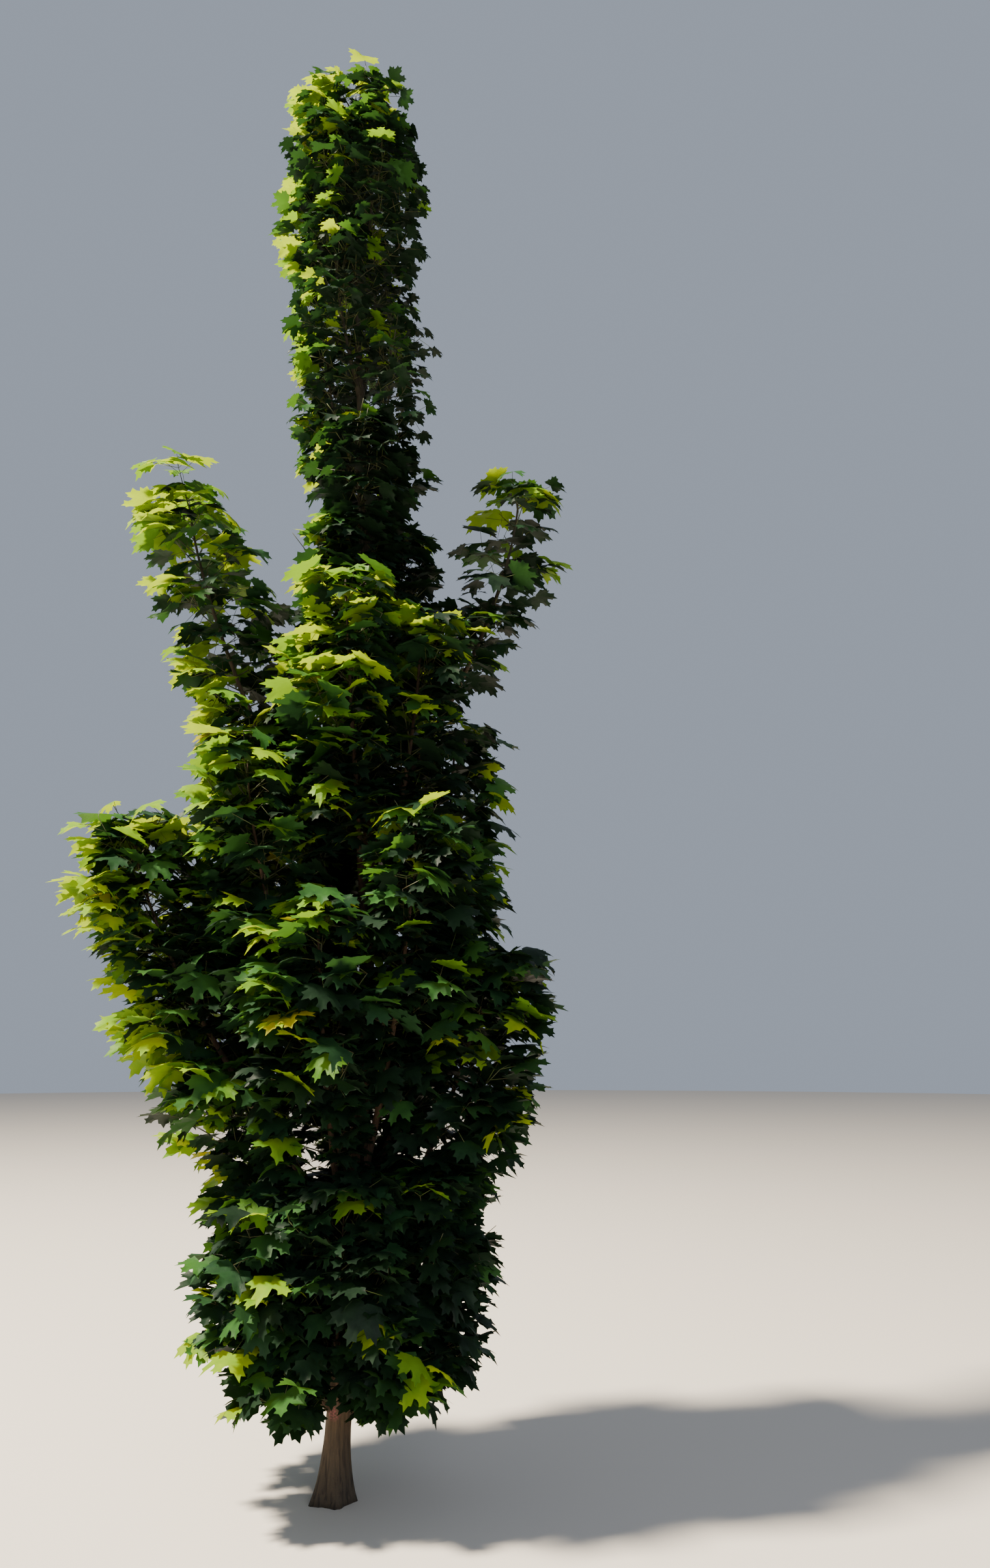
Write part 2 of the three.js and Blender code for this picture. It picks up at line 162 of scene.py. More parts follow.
def trunk_relief(height, angle):
    """How far the bark stands out: root ridges, furrows that fade upwards, and slow waves."""
    ridge = 0.5 + 0.5 * math.cos(ROOT_RIDGES * angle)
    flare = (FLARE + ROOT_RIDGE * ridge**ROOT_RIDGE_POWER) * math.exp(-height / FLARE_HEIGHT)
    place = Vector((math.cos(angle), math.sin(angle), 0))
    drift = noise.noise(place * FURROW_DRIFT_ROUND + UP * (height / FURROW_LENGTH))
    furrow = abs(math.sin(FURROWS * angle / 2 + FURROW_DRIFT * drift)) ** FURROW_POWER
    fading = FURROW_DEPTH * math.exp(-height / FURROW_FADE)
    wave = noise.noise(place * BARK_WAVE_ROUND + UP * (height / BARK_WAVE_LENGTH)) * BARK_WAVE
    return flare + (furrow - 1) * fading + wave


def ring_axes(path, share, beside):
    """Two directions across a limb: level ones, unless a direction is given that it never runs along."""
    if beside is None:
        return Vector((1, 0, 0)), Vector((0, 1, 0))
    ahead = path(min(share + PATH_STEP, 1)) - path(max(share - PATH_STEP, 0))
    across = ahead.cross(beside).normalized()
    return across, across.cross(ahead).normalized()


def add_limb(mesh, path, radius_at, beside, sides, rings, relief=None):
    """Draws a closed limb out along a path, ring by ring."""
    ring = bmesh.ops.create_circle(mesh, cap_ends=True, segments=sides, radius=1)["verts"]
    edges = ring[0].link_faces[0].edges[:]
    for step in range(rings + 1):
        share = step / rings
        if step:
            drawn = bmesh.ops.extrude_edge_only(mesh, edges=edges)["geom"]
            ring = [part for part in drawn if isinstance(part, bmesh.types.BMVert)]
            edges = [part for part in drawn if isinstance(part, bmesh.types.BMEdge)]
            edges = [edge for edge in edges if all(end in ring for end in edge.verts)]
        across, other = ring_axes(path, share, beside)
        for number, vertex in enumerate(ring):
            angle = math.tau * number / sides
            out = radius_at(share) + (relief(share, angle) if relief else 0)
            vertex.co = path(share) + out * (math.cos(angle) * across + math.sin(angle) * other)
    bmesh.ops.contextual_create(mesh, geom=edges)


def finished(name, mesh, material, slot, *nodes):
    """Makes a bmesh into a piece that rides on the tree and stands for those CAD nodes."""
    bmesh.ops.recalc_face_normals(mesh, faces=mesh.faces)
    data = bpy.data.meshes.new(name)
    mesh.to_mesh(data)
    mesh.free()
    add_piece(name, data, material, nodes)


def add_piece(name, data, material, nodes=()):
    """Puts a mesh on the tree: its material, its place in the frame and the nodes it replaces."""
    data.materials.append(material)
    data.polygons.foreach_set("use_smooth", [True] * len(data.polygons))
    piece = bpy.data.objects.new(name, data)
    bpy.context.scene.collection.objects.link(piece)
    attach(piece, BODY)
    if nodes:
        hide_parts(*nodes)


def linear(colour):
    """A colour written as sRGB hex, as linear red, green and blue with full alpha."""
    parts = [int(colour[i : i + 2], 16) / 255 for i in (1, 3, 5)]
    return [p / 12.92 if p <= 0.04045 else ((p + 0.055) / 1.055) ** 2.4 for p in parts] + [1]


def add_node(material, kind, sockets, stops=(), **settings):
    """Adds a shader node.

    A socket takes a value, a node to link from by its first output, or any other output. The stops are
    a colour ramp's places and colours.
    """
    node = material.node_tree.nodes.new("ShaderNode" + kind)
    for name, value in settings.items():
        setattr(node, name, value)
    for name, value in sockets.items():
        if isinstance(value, bpy.types.Node):
            value = value.outputs[0]
        if isinstance(value, bpy.types.NodeSocket):
            material.node_tree.links.new(value, node.inputs[name])
        else:
            node.inputs[name].default_value = value
    if stops:
        elements = node.color_ramp.elements
        while len(elements) < len(stops):
            elements.new(0.5)
        for element, (place, colour) in zip(elements, stops):
            element.position = place
            element.color = linear(colour)
    return node


def new_material(name):
    """An empty node material."""
    material = bpy.data.materials.new(name)
    material.use_nodes = True
    material.node_tree.nodes.clear()
    return material


MARK_PLACE = (0.0, -0.037, 0.3)
MARK_RADIUS = 0.032
MARK_COLOUR = "#8f4f58"
MARK_GRAINS = 150


def marked(material, place, under):
    """Lays a worn dab of pink nursery paint over the bark's colour: it has flaked off in small grains."""
    apart = add_node(material, "VectorMath", {0: place, 1: MARK_PLACE}, operation="DISTANCE")
    near = add_node(
        material,
        "MapRange",
        {"Value": apart.outputs["Value"], "From Min": MARK_RADIUS, "From Max": MARK_RADIUS / 2},
    )
    wear = add_node(material, "TexNoise", {"Vector": place, "Scale": MARK_GRAINS, "Detail": 4})
    left = add_node(
        material, "MapRange", {"Value": wear, "From Min": 0.42, "From Max": 0.6, "To Max": 0.75}
    )
    share = add_node(material, "Math", {0: near, 1: left}, operation="MULTIPLY")
    return add_node(
        material, "MixRGB", {"Fac": share, "Color1": under, "Color2": linear(MARK_COLOUR)}
    )


STREAKS = (160, 160, 11)
LENTICELS = (60, 60, 320)
RIFTS = (75, 75, 7)
PATCHES = 9
PATCH_SHARE = 0.35
SPLASH_AND_SHADE_TOP = 0.55
SPLASH_AND_SHADE_FULL = 0.08
YOUNG_WOOD_FROM = 2.4
YOUNG_WOOD_FULL = 3.6
RIFT_SHADE_COLOUR = "#1a1512"
YOUNG_WOOD_COLOUR = "#26261a"


def bark(name, light, middle, dark, foot, mark=False):
    """Young maple bark: matt and tan, streaked along the stem and greyer where soil splashes it.
    There it is also painted darker, as shade.

    The streaks are 6 mm wide and about 15 times as long; lenticels are fine paler flecks across. Near
    the soil the bark is cracked by dark rifts, 13 mm apart, painted dark as the shade in the cracks.
    High up the wood is young and olive. The scales of the patterns are waves for each metre along X,
    Y and Z.
    """
    material = new_material(name)
    place = add_node(material, "TexCoord", {}).outputs["Object"]
    along = add_node(material, "Mapping", {"Vector": place, "Scale": STREAKS})
    streaks = add_node(material, "TexNoise", {"Vector": along, "Scale": 1, "Detail": 6, "Roughness": 0.62})
    streaked = add_node(
        material, "ValToRGB", {"Fac": streaks}, stops=[(0.3, dark), (0.5, middle), (0.72, light)]
    )
    patches = add_node(material, "TexNoise", {"Vector": place, "Scale": PATCHES, "Detail": 3})
    patched = add_node(material, "ValToRGB", {"Fac": patches}, stops=[(0.35, dark), (0.65, middle)])
    mixed = add_node(material, "MixRGB", {"Fac": PATCH_SHARE, "Color1": streaked, "Color2": patched})
    height = add_node(material, "SeparateXYZ", {"Vector": place}).outputs["Z"]
    # Near the soil the bark is greyer with soil splash and darker with painted shade.
    near_soil = add_node(
        material,
        "MapRange",
        {"Value": height, "From Min": SPLASH_AND_SHADE_TOP, "From Max": SPLASH_AND_SHADE_FULL, "To Max": 0.85},
    )
    splashed_and_shaded = add_node(
        material, "MixRGB", {"Fac": near_soil, "Color1": mixed, "Color2": linear(foot)}
    )
    high_up = add_node(
        material,
        "MapRange",
        {"Value": height, "From Min": YOUNG_WOOD_FROM, "From Max": YOUNG_WOOD_FULL, "To Max": 0.85},
    )
    weathered = add_node(
        material, "MixRGB", {"Fac": high_up, "Color1": splashed_and_shaded, "Color2": linear(YOUNG_WOOD_COLOUR)}
    )
    across = add_node(material, "Mapping", {"Vector": place, "Scale": LENTICELS})
    flecks = add_node(material, "TexVoronoi", {"Vector": across, "Scale": 1})
    fleck = add_node(
        material,
        "MapRange",
        {"Value": flecks, "From Min": 0.08, "From Max": 0.16, "To Min": 0.3, "To Max": 0},
    )
    flecked = add_node(
        material, "MixRGB", {"Fac": fleck, "Color1": weathered, "Color2": linear(light)}
    )
    # Dark rifts near the soil: painted shade standing for the hollows of cracks that the mesh does not
    # have.
    cracks = add_node(material, "Mapping", {"Vector": place, "Scale": RIFTS})
    rift = add_node(material, "TexNoise", {"Vector": cracks, "Scale": 1, "Detail": 3})
    rift_shade_mask = add_node(
        material, "MapRange", {"Value": rift, "From Min": 0.48, "From Max": 0.36, "To Max": 0.8}
    )
    painted_rift_shade = add_node(material, "Math", {0: rift_shade_mask, 1: near_soil}, operation="MULTIPLY")
    coloured = add_node(
        material, "MixRGB", {"Fac": painted_rift_shade, "Color1": flecked, "Color2": linear(RIFT_SHADE_COLOUR)}
    )
    if mark:
        coloured = marked(material, place, coloured)
    bump = add_node(material, "Bump", {"Height": streaks, "Strength": 0.7, "Distance": 0.003})
    surface = add_node(
        material,
        "BsdfPrincipled",
        {"Base Color": coloured, "Roughness": 0.86, "IOR": 1.45, "Normal": bump},
    )
    add_node(material, "OutputMaterial", {"Surface": surface})
    return material


trunk_bark = bark(
    "young maple bark", light="#80644a", middle="#584530", dark="#30281c", foot="#40382c", mark=True
)
trunk_mesh = bmesh.new()
add_limb(
    trunk_mesh,
    lambda share: trunk_axis(share * TRUNK_TIP),
    lambda share: trunk_radius(share * TRUNK_TIP),
    None,
    TRUNK_SIDES,
    round(TRUNK_TIP / TRUNK_RING_SPACING),
    lambda share, angle: trunk_relief(share * TRUNK_TIP, angle),
)
finished("trunk_bark", trunk_mesh, trunk_bark, "bark", "trunk")

# Boughs
# Steep limbs that leave the trunk low with a thick collar, lean out and then turn upright. Each
# carries one of the crown's plumes, and its upper stem runs on through the leaves to the plume's tip.

BOUGHS = {
    "left_tall": {"azimuth": 183, "foot": 1.95, "tip": 3.83, "reach": 0.73, "spread": 0.31, "entry": 0.34},
    "right_tall": {"azimuth": 358, "foot": 2.42, "tip": 3.86, "reach": 0.65, "spread": 0.27, "entry": 0.35},
    "left_low": {"azimuth": 191, "foot": 0.88, "tip": 2.41, "reach": 0.91, "spread": 0.37, "entry": 0.27},
    "right_low": {"azimuth": 344, "foot": 0.64, "tip": 1.86, "reach": 0.47, "spread": 0.37, "entry": 0.24},
    "right_mid": {"azimuth": 20, "foot": 1.6, "tip": 2.88, "reach": 0.37, "spread": 0.32, "entry": 0.34},
    "left_mid": {"azimuth": 168, "foot": 0.56, "tip": 2.02, "reach": 0.66, "spread": 0.4, "entry": 0.24},
    "left_upper": {"azimuth": 162, "foot": 1.32, "tip": 2.88, "reach": 0.52, "spread": 0.38, "entry": 0.28},
    "front_left": {"azimuth": 217, "foot": 1.06, "tip": 2.64, "reach": 0.54, "spread": 0.38, "entry": 0.27},
    "front_right": {"azimuth": 298, "foot": 0.96, "tip": 2.4, "reach": 0.45, "spread": 0.35, "entry": 0.3},
    "front_tall": {"azimuth": 262, "foot": 1.86, "tip": 3.36, "reach": 0.36, "spread": 0.34, "entry": 0.3},
    "front_low": {"azimuth": 254, "foot": 0.7, "tip": 2.08, "reach": 0.48, "spread": 0.37, "entry": 0.26},
    "back_left": {"azimuth": 128, "foot": 1.08, "tip": 2.64, "reach": 0.52, "spread": 0.37, "entry": 0.3},
    "back_right": {"azimuth": 56, "foot": 0.86, "tip": 2.32, "reach": 0.5, "spread": 0.35, "entry": 0.3},
    "back_tall": {"azimuth": 88, "foot": 1.76, "tip": 3.3, "reach": 0.4, "spread": 0.35, "entry": 0.3},
    "back_low": {"azimuth": 90, "foot": 0.6, "tip": 1.86, "reach": 0.48, "spread": 0.36, "entry": 0.26},
    "right_upper": {"azimuth": 318, "foot": 1.98, "tip": 3.24, "reach": 0.31, "spread": 0.3, "entry": 0.3},
}
BOUGH_BEND = 1.5
BOUGH_RADIUS = 0.016
BOUGH_SIDES = 14
BOUGH_RINGS = 44
BOUGH_KNOTS = 14
BOUGH_KNOT_HEIGHT = 0.0014
COLLAR = 0.8
COLLAR_LENGTH = 0.05
STEM_TIP_SHARE = 0.2
SHOOT_TRUNK_SHARE = 0.6


def outward(shoot):
    """The level direction in which a shoot leans away from the trunk."""
    azimuth = math.radians(shoot["azimuth"])
    return Vector((math.cos(azimuth), math.sin(azimuth), 0))


def shoot_path(shoot, share):
    """A shoot's way from the trunk's axis to its tip: it leans out at first, then turns upright."""
    height = shoot["foot"] + (shoot["tip"] - shoot["foot"]) * share
    out = shoot["reach"] * (1 - (1 - share) ** shoot["bend"])
    return trunk_axis(height) + out * outward(shoot)


def shoot_radius(shoot, share):
    """A shoot's radius: a thick collar at the trunk, then an even taper to its tip."""
    foot = min(shoot["radius"], trunk_radius(shoot["foot"]) * SHOOT_TRUNK_SHARE)
    collar = 1 + COLLAR * math.exp(-share * (shoot["tip"] - shoot["foot"]) / COLLAR_LENGTH)
    return foot * collar * (1 + (STEM_TIP_SHARE - 1) * share)


def bough_relief(shoot, share, angle):
    """The slow knots and hollows in a bough's surface."""
    return noise.noise(shoot_path(shoot, share) * BOUGH_KNOTS + UP * angle) * BOUGH_KNOT_HEIGHT


for shoot in BOUGHS.values():
    shoot["kind"] = "bough"
    shoot["bend"] = BOUGH_BEND
    shoot["radius"] = BOUGH_RADIUS

# The bark of the boughs and upright shoots is darker than the trunk's: painted shade of the crown over
# them.
bough_bark = bark(
    "smooth bough bark", light="#6a5039", middle="#4a3829", dark="#30251b", foot="#4a3829"
)
bough_mesh = bmesh.new()
for shoot in BOUGHS.values():
    add_limb(
        bough_mesh,
        lambda share: shoot_path(shoot, share),
        lambda share: shoot_radius(shoot, share),
        outward(shoot),
        BOUGH_SIDES,
        BOUGH_RINGS,
        lambda share, angle: bough_relief(shoot, share, angle),
    )
finished("bough_bark", bough_mesh, bough_bark, "bark", *["bough_" + name for name in BOUGHS])

# Upright shoots on the trunk
# Slender shoots that stand straight on the trunk: six round its foot, ten up the column on the right
# and left in turn, and the leader that carries the trunk on to the top.

SKIRT = {"rise": 0.78, "reach": 0.34, "spread": 0.38, "bend": 3}
SKIRT_COUNT = 6
SKIRT_AZIMUTH = 30
SKIRT_TURN = 60
SKIRT_FOOT = 0.24
SKIRT_STEP = 0.012
COLUMN = {"rise": 0.79, "reach": 0.15, "spread": 0.29, "bend": 2.4}
COLUMN_TIERS = 5
COLUMN_AZIMUTH = 8
COLUMN_TURN = 77
COLUMN_FOOT = 2.88
COLUMN_STEP = 0.48
LEADER = {"rise": 0.57, "reach": 0, "spread": 0.36, "bend": 1}
SHOOT_RADIUS = 0.01
SHOOT_SIDES = 8
SHOOT_RINGS = 16


def trunk_shoot(kind, form, azimuth, foot):
    """A shoot that stands on the trunk itself, in leaf all along."""
    place = {"kind": kind, "azimuth": azimuth, "foot": foot, "tip": foot + form["rise"], "entry": 0}
    return {**form, **place, "radius": SHOOT_RADIUS}


trunk_shoots = {}
for tier in range(SKIRT_COUNT):
    azimuth = SKIRT_AZIMUTH + tier * SKIRT_TURN
    foot = SKIRT_FOOT + tier * SKIRT_STEP
    trunk_shoots[f"skirt_{tier + 1}"] = trunk_shoot("skirt", SKIRT, azimuth, foot)
for side, turn in (("right", 0), ("left", 180)):
    for tier in range(COLUMN_TIERS):
        kind = "top" if tier == COLUMN_TIERS - 1 else "column"
        azimuth = COLUMN_AZIMUTH + tier * COLUMN_TURN + turn
        foot = COLUMN_FOOT + tier * COLUMN_STEP
        trunk_shoots[f"column_{side}_{tier + 1}"] = trunk_shoot(kind, COLUMN, azimuth, foot)
trunk_shoots["leader"] = trunk_shoot("top", LEADER, 0, TRUNK_TIP)
shoots = {**BOUGHS, **trunk_shoots}

shoot_mesh = bmesh.new()
for shoot in trunk_shoots.values():
    add_limb(
        shoot_mesh,
        lambda share: shoot_path(shoot, share),
        lambda share: shoot_radius(shoot, share),
        outward(shoot),
        SHOOT_SIDES,
        SHOOT_RINGS,
    )
finished("upright_shoots", shoot_mesh, bough_bark, "bark")

# Room for the leaves
# Every shoot's leaves keep to the space nearer to its own stem than to the next one's, so the light
# falls between the plumes as it does on the real tree, and nothing grows through the trunk.

STEM_RUNS = 8
TRUNK_RUNS = 24
SPACE_SLACK = 0.12
LIMB_ROOM = 0.012
NO_LIMIT = 9
BOX_SLACK = np.array([0.01, 0.02, 0.025])
TOP_SLACK = np.array([0.065, 0.065, 0.025])
# For each kind of shoot: how far past its CAD mass its leaves may stand, then the least and most that
# they may stand from the trunk's axis, and that its crest falls in a metre out from its tip.
ROOM = {
    "bough": {"slack": BOX_SLACK, "half": (NO_LIMIT, NO_LIMIT), "crest": (0.1, 0.9)},
    "skirt": {"slack": BOX_SLACK, "half": (0.42, 0.69), "crest": (0, 0.35)},
    "column": {"slack": BOX_SLACK, "half": (0.26, 0.37), "crest": (0.42, 0.95)},
    "top": {"slack": TOP_SLACK, "half": (0.32, 0.47), "crest": (0.52, 1.05)},
}


def runs_along(points, radii=None):
    """A path as straight runs between its points."""
    points = np.array(points)
    radii = np.zeros(len(points) - 1) if radii is None else np.array(radii[:-1])
    return points[:-1], points[1:] - points[:-1], radii


def distances(places, runs):
    """How far each place is from each run, less the run's radius."""
    start, way, radius = runs
    offset = places[:, None, :] - start[None]
    share = np.clip((offset * way[None]).sum(2) / (way * way).sum(1), 0, 1)
    return np.linalg.norm(offset - share[..., None] * way[None], axis=2) - radius


for number, (name, shoot) in enumerate(shoots.items()):
    shares = [shoot["entry"] + (1 - shoot["entry"]) * i / STEM_RUNS for i in range(STEM_RUNS + 1)]
    slack = ROOM[shoot["kind"]]["slack"]
    low, high = np.array(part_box("mass_" + name))
    shoot["number"] = number
    shoot["runs"] = runs_along([shoot_path(shoot, share) for share in shares])
    shoot["box"] = (low - slack, high + slack)
    shoot["end"] = np.array(shoot_path(shoot, 1))
all_stems = tuple(np.concatenate([shoot["runs"][k] for shoot in shoots.values()]) for k in range(3))
heights = [TRUNK_TIP * i / TRUNK_RUNS for i in range(TRUNK_RUNS + 1)]
trunk_runs = runs_along([trunk_axis(h) for h in heights], [trunk_radius(h) for h in heights])


def has_room(shoot, reach, middle, tips, crest, half):
    """Whether a leaf's middle is in its own shoot's space and its tips stay within the shoot's reach."""
    places = np.array([middle, *tips])
    low, high = shoot["box"]
    if (places < low).any() or (places > high).any():
        return False
    beside = np.linalg.norm((places - shoot["end"])[:, :2], axis=1)
    if (places[:, 2] > high[2] - crest * beside).any():
        return False
    if np.linalg.norm((places - trunk_axis(middle[2]))[:, :2], axis=1).max() > half:
        return False
    if distances(places, shoot["runs"]).min(axis=1).max() > reach:
        return False
    if distances(places, trunk_runs).min() < LIMB_ROOM:
        return False
    from_all = distances(places[:1], all_stems)[0].reshape(-1, STEM_RUNS).min(axis=1)
    return from_all[shoot["number"]] <= from_all.min() + SPACE_SLACK


# Painted light on the leaves
# The sun's light and shade are painted into the leaves' colours. Leaves towards the left, and a
# little to the back, are painted brighter as sunlit; leaves deep in, low down and in the column's
# own shade are painted darker. Each leaf's painted light follows from its shoot, its place on it and
# luck. It picks one of six tints, from the dark inner leaves to the young yellow ones.

SUN_BEARING = math.radians(165)
FULL_SUN = 3.2
PLUME_SHADE = 1.1
COLUMN_SHADE = 6
COLUMN_SUN = 1.15
TOP_SUN = 1.7
LIGHT_HIGH = 0.3
LIGHT_LOW = 0.17
LIGHT_SIDE = 0.08
COLUMN_LIGHT_SIDE = 0.13
COLUMN_LESS = 0.07
LIGHT_LEAN = 0.3
LIGHT_FACE = 0.05
SPRAY_LUCK = 0.05
YOUNG_AND_SUNLIT_SPRAYS = 0.36
YOUNG_SUNNY = 0.6
YOUNG_SIDE = 0.45
YOUNG_LIGHT = 0.36
YOUNG_SHARE = 0.04
BRIGHT = 0.62
TINTS = ("shade", "deep", "middle", "half_sunlit", "sunlit", "young")
TINT_LIGHT = {"sunlit": BRIGHT, "half_sunlit": 0.5, "middle": 0.37, "deep": 0.25}


def sunny(bearing):
    """How much a bearing faces the sun, from -1 to 1."""
    return math.cos(bearing - SUN_BEARING)


def sun_on(shoot):
    """How much sun a shoot's top gets.

    Boughs stand free. The column shades itself below its top, but for the shoots that face the sun.
    """
    if shoot["kind"] == "bough":
        return min(shoot["tip"] / FULL_SUN, 1) ** PLUME_SHADE
    if shoot["kind"] == "skirt":
        return 0
    facing = max(sunny(math.radians(shoot["azimuth"])), 0)
    return max(TOP_SUN * (shoot["foot"] / TRUNK_TIP) ** COLUMN_SHADE, COLUMN_SUN * facing)


def shoot_light(shoot):
    """The light that a shoot gains by leaning to the sun or loses by leaning away from it."""
    facing = shoot["reach"] * sunny(math.radians(shoot["azimuth"]))
    return facing * (LIGHT_FACE if facing > 0 else LIGHT_LEAN)


def side_light(shoot, side):
    """The light that a twig gains or loses by the side on which it stands."""
    if shoot["kind"] in ("column", "top"):
        return COLUMN_LIGHT_SIDE * side - COLUMN_LESS
    return LIGHT_SIDE * side


def twig_light(shoot, share, bearing, length, edge):
    """The painted light on a twig's leaves. A few sprays, mostly long and sunny ones, are painted bright:
    partly young yellow-green leaves, partly painted sunlight.
    """
    dice = shoot["dice"]
    sun = sun_on(shoot)
    side = sunny(bearing)
    light = LIGHT_HIGH * sun * share**2 - LIGHT_LOW * (1 - share) + shoot_light(shoot)
    light += dice.gauss(0, SPRAY_LUCK)
    light += side_light(shoot, side)
    # A bright spray is partly the young leaves' yellow and partly painted sunlight, so it is likelier on
    # sunny shoots and sides.
    chance = YOUNG_AND_SUNLIT_SPRAYS * (1 - YOUNG_SUNNY + YOUNG_SUNNY * sun) * (1 - YOUNG_SIDE + YOUNG_SIDE * side)
    if dice.random() < chance:
        light += YOUNG_LIGHT * length / edge
    return light


def tint_of(light, dice):
    """The tint of a leaf by how much light reaches it. A few of the brightest leaves are young."""
    tint = next((name for name, least in TINT_LIGHT.items() if light > least), "shade")
    return "young" if tint == "sunlit" and dice.random() < YOUNG_SHARE else tint


# Growth of the leaves
# A leaf stands on a long stalk that leans out from its twig. The blades lie nearly level, their tips
# drooping a little, some of them steeply low down, and are smaller and fewer towards the tree's top.

STALK_SHORT = 0.055
STALK_LONG = 0.125
STALK_SWING = 0.35
STALK_CLIMB = 0.25
BLADE_SWING = 0.3
ROLL_SWING = 0.55
LEAF_SMALL = 0.06
LEAF_LARGE = 0.096
LEAF_GAIN = 0.34
LEAF_TRIES = 3
TRY_SHORTER = 0.25
LEAF_ROOM = 0.023
LEAF_MIDDLE = 0.45
LEAF_TIPS = (Vector((1, 0, 0)), Vector((0.67, 0.68, 0)), Vector((0.67, -0.68, 0)))
LEAF_LUCK = 0.13
LIGHT_OUT = 0.3
LUCKY_SUNLIT_LEAVES = 0.36
LUCKY_LOW = 0.6
LUCKY_SIDE = 0.25
LUCKY_LIGHT = 0.34
BARE_LOW = 0.06
BARE_HIGH = 0.28
HIGH_FROM = 3.7
HIGH_TO = 4.3
HIGH_LESS = 0.22
SMALL_HIGH = 0.3
DROOP_LEAST = -0.3
DROOP_MORE = 1.25
DROOP_RARE = 1.5
DROOP_HIGH = 0.34
LEVEL_SHARE = 0.66
BLADE_SHAPES = (
    {"fold": 0.3, "curl": 0.16, "wave": 0.1, "turn": 0},
    {"fold": 0.18, "curl": 0.3, "wave": 0.16, "turn": 1.3},
    {"fold": 0.42, "curl": 0.05, "wave": 0.12, "turn": 2.6},
    {"fold": 0.24, "curl": 0.2, "wave": 0.24, "turn": 3.9},
    {"fold": 0.1, "curl": 0.38, "wave": 0.08, "turn": 5.2},
)

stalks = []
leaves = {tint: [] for tint in TINTS}


def level(bearing, rise):
    """The direction over a bearing that climbs at an angle."""
    flat = math.cos(rise)
    return Vector((math.cos(bearing) * flat, math.sin(bearing) * flat, math.sin(rise)))


def grow_leaf(shoot, reach, node, bearing, rise, droop, size):
    """Grows one leaf on its stalk where there is room, and returns its turn and joint, or nothing."""
    dice = shoot["dice"]
    room = ROOM[shoot["kind"]]
    for attempt in range(LEAF_TRIES):
        pointing = bearing + dice.uniform(-STALK_SWING, STALK_SWING) * (1 + attempt)
        stalk = dice.uniform(STALK_SHORT, STALK_LONG) * (1 - TRY_SHORTER * attempt)
        joint = node + level(pointing, rise + dice.uniform(-STALK_CLIMB, STALK_CLIMB)) * stalk
        roll = dice.uniform(-ROLL_SWING, ROLL_SWING)
        heading = pointing + dice.uniform(-BLADE_SWING, BLADE_SWING)
        turn = Euler((roll, droop, heading), "XYZ").to_matrix()
        middle = joint + turn @ Vector((LEAF_MIDDLE * size, 0, 0))
        if any((middle - other).length < LEAF_ROOM for other in shoot["taken"]):
            continue
        tips = [joint + turn @ tip * size for tip in LEAF_TIPS]
        crest = dice.uniform(*room["crest"])
        half = dice.uniform(*room["half"])
        if has_room(shoot, reach, middle, tips, crest, half):
            shoot["taken"].append(middle)
            stalks.append((node, joint))
            return turn, joint
    return None


def add_leaf(shoot, reach, node, bearing, rise, out, light):
    """Grows one leaf and gives it its tint: painted brighter outside as sunlit, darker deep in as painted
    shade.
    """
    dice = shoot["dice"]
    light += LIGHT_OUT * out + dice.gauss(0, LEAF_LUCK)
    high = min(node.z / FULL_SUN, 1)
    # A few outer leaves, more of them high up and facing the sun, get a painted sunlit highlight.
    facing = 1 - LUCKY_SIDE + LUCKY_SIDE * sunny(bearing)
    if dice.random() < LUCKY_SUNLIT_LEAVES * out * facing * (LUCKY_LOW + (1 - LUCKY_LOW) * high):
        light += LUCKY_LIGHT
    if dice.random() < BARE_LOW + (BARE_HIGH - BARE_LOW) * high**2:
        return
    size = dice.uniform(LEAF_SMALL, LEAF_LARGE) * (1 + LEAF_GAIN * out)
    up = min(max((node.z - HIGH_FROM) / (HIGH_TO - HIGH_FROM), 0), 1)
    size *= (1 - HIGH_LESS * up) * (1 - SMALL_HIGH * up * max(1 - light / BRIGHT, 0))
    hang = DROOP_MORE * dice.random() ** DROOP_RARE * (1 - LEVEL_SHARE * high)
    droop = DROOP_LEAST + hang + DROOP_HIGH * high**2
    grown = grow_leaf(shoot, reach, node, bearing, rise, droop, size)
    if grown:
        tint = tint_of(light, dice)
        leaves[tint].append((*grown, size, dice.randrange(len(BLADE_SHAPES))))


# Growth of the twigs
# Twigs stand in opposite pairs, each pair a quarter turn from the last, and end in a cluster of leaves.
# Behind it they bear opposite pairs of leaves, beside the twig and above and below it in turn.

NODE_SPACING = 0.042
FIRST_NODE = 0.03
LAST_NODE = 0.04
FIRST_PAIR = 45
PAIR_TURN = 90
LIFT_LOW = math.radians(8)
LIFT_HIGH = math.radians(48)
TWIG_SWING = 0.6
TWIG_TURN_UP = 0.35
TWIG_EDGE = 0.13
TWIG_CREST = 0.5
TWIG_STEP = 0.03
TWIG_PARTS = 3
LEAF_NODE_SPACING = 0.036
FIRST_LEAF_NODE = 0.05
STALK_LEAN = math.radians(55)
STALK_RISE = 0.2
UPRIGHT_SWING = 0.5
UPRIGHT_RISE = 0.9
WHORL = 5
WHORL_FAN = 0.75
WHORL_RISE = 0.35
WHORL_LOWER = 0.2
TOP_CLUSTER = 14
TOP_SWING = 0.2
TOP_RISE = 0.1
TOP_HIGHER = 0.4
TOP_OUT = 1.2
LONG_TWIGS = 0.6
FREE_LONG_TWIGS = 0.8
LONG_REACH = (0.86, 1.12)
SHORT_REACH = (0.5, 0.74)
OPEN_PLUMES = {"left_tall": 1.62, "right_tall": 2.1}
